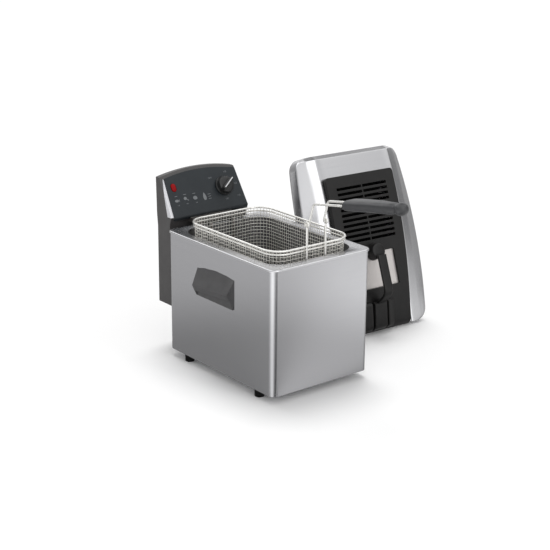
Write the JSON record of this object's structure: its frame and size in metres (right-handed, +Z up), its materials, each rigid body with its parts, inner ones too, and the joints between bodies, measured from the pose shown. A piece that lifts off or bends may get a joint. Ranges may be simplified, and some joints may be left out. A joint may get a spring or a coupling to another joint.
{
  "type": "deep fryer",
  "caption": "Deep fryer with a brushed steel body, lift-out tub, rear control unit with heating element, wire basket with folding handle, and a lid standing beside it.",
  "frame": {"origin": "on the floor under the middle of the steel body", "axes": "+Z up, -Y the front with the basket handle, +X towards the lid"},
  "size_m": [0.5291, 0.5587, 0.3686],
  "materials": {
    "body_steel": "brushed along the wrap",
    "lid_steel": "fine brushed",
    "tub_steel": "polished",
    "wire_chrome": "bright plated",
    "net_steel": "bright plated",
    "case_plastic": "fine grain",
    "side_handle_plastic": "satin",
    "cover_plastic": "satin",
    "grip_plastic": "satin",
    "panel_plastic": "semi-gloss film",
    "trim_silver": "satin",
    "lamp_red": "clear red",
    "knob_plastic": "satin",
    "pointer_white": "painted",
    "foot_rubber": "matt",
    "seal_rubber": "matt",
    "zinc_steel": "zinc plated",
    "element_steel": "heat tinted",
    "liner_aluminium": "plain",
    "pane_tint": "milky pane",
    "filter_felt": "carbon felt",
    "button_red": "satin",
    "terminal_ivory": "matt"
  },
  "bodies": {
    "housing": {"housing_shell": "body_steel", "base_plate": "zinc_steel", "feet": "foot_rubber", "foot_screws": "zinc_steel", "side_handle_left": "side_handle_plastic", "side_handle_right": "side_handle_plastic", "handle_screws": "zinc_steel", "rear_rail": "zinc_steel"},
    "tub": {"tub_flange": "tub_steel", "tub_wall": "tub_steel", "tub_floor": "tub_steel"},
    "control_unit": {"control_case": "case_plastic", "rear_cover": "case_plastic", "cover_bosses": "case_plastic", "cover_screws": "zinc_steel", "control_panel": "panel_plastic", "indicator_lens": "lamp_red", "side_trim_left": "trim_silver", "side_trim_right": "trim_silver", "thermostat": "zinc_steel", "thermal_cutout": "zinc_steel", "safety_switch": "terminal_ivory", "terminal_block": "terminal_ivory", "cord_gland": "seal_rubber", "element_shroud": "element_steel", "heating_element": "element_steel", "element_clamps": "element_steel", "thermostat_bulb": "element_steel"},
    "knob": {"thermostat_knob": "knob_plastic", "knob_pointer": "pointer_white", "thermostat_shaft": "zinc_steel"},
    "reset": {"reset_button": "button_red"},
    "basket": {"basket_front_net": "net_steel", "basket_rear_net": "net_steel", "basket_left_net": "net_steel", "basket_right_net": "net_steel", "basket_corner_nets": "net_steel", "basket_floor_net": "net_steel", "basket_rim": "wire_chrome", "basket_lower_rim": "wire_chrome", "basket_uprights": "wire_chrome"},
    "basket_handle": {"handle_wires": "wire_chrome", "handle_grip": "grip_plastic"},
    "lid": {"lid_shell": "lid_steel", "lid_liner": "liner_aluminium", "lid_seal": "seal_rubber", "filter_tray": "liner_aluminium", "grease_filter": "filter_felt"},
    "lid_cover": {"filter_cover": "cover_plastic", "view_pane": "pane_tint", "lid_handle": "cover_plastic", "latch_tab": "cover_plastic"}
  },
  "joints": [
    {"name": "tub_lift", "type": "slide", "parent": "housing", "child": "tub", "axis": [0, 0, 1], "range_m": [0, 0.25]},
    {"name": "control_lift", "type": "slide", "parent": "tub", "child": "control_unit", "axis": [0, 0, 1], "range_m": [0, 0.16]},
    {"name": "thermostat_turn", "type": "hinge", "parent": "control_unit", "child": "knob", "pos_m": [0.045, 0.18715, 0.28221], "axis": [0, -0.8588, 0.5123], "range_deg": [-130, 105]},
    {"name": "reset_press", "type": "slide", "parent": "control_unit", "child": "reset", "axis": [0, -1, 0], "range_m": [0, 0.002], "stiffness_N_per_m": 400},
    {"name": "basket_lift", "type": "slide", "parent": "control_unit", "child": "basket", "axis": [0, 0, 1], "range_m": [0, 0.15]},
    {"name": "basket_handle_fold", "type": "hinge", "parent": "basket", "child": "basket_handle", "pos_m": [0, -0.12967, 0.292], "axis": [-1, 0, 0], "range_deg": [0, 170]},
    {"name": "lid_lift", "type": "slide", "parent": "housing", "child": "lid", "axis": [0, 0, 1], "range_m": [0, 0.3]},
    {"name": "filter_cover_off", "type": "slide", "parent": "lid", "child": "lid_cover", "axis": [-0.0416, -0.934, 0.3548], "range_m": [0, 0.06]}
  ]
}
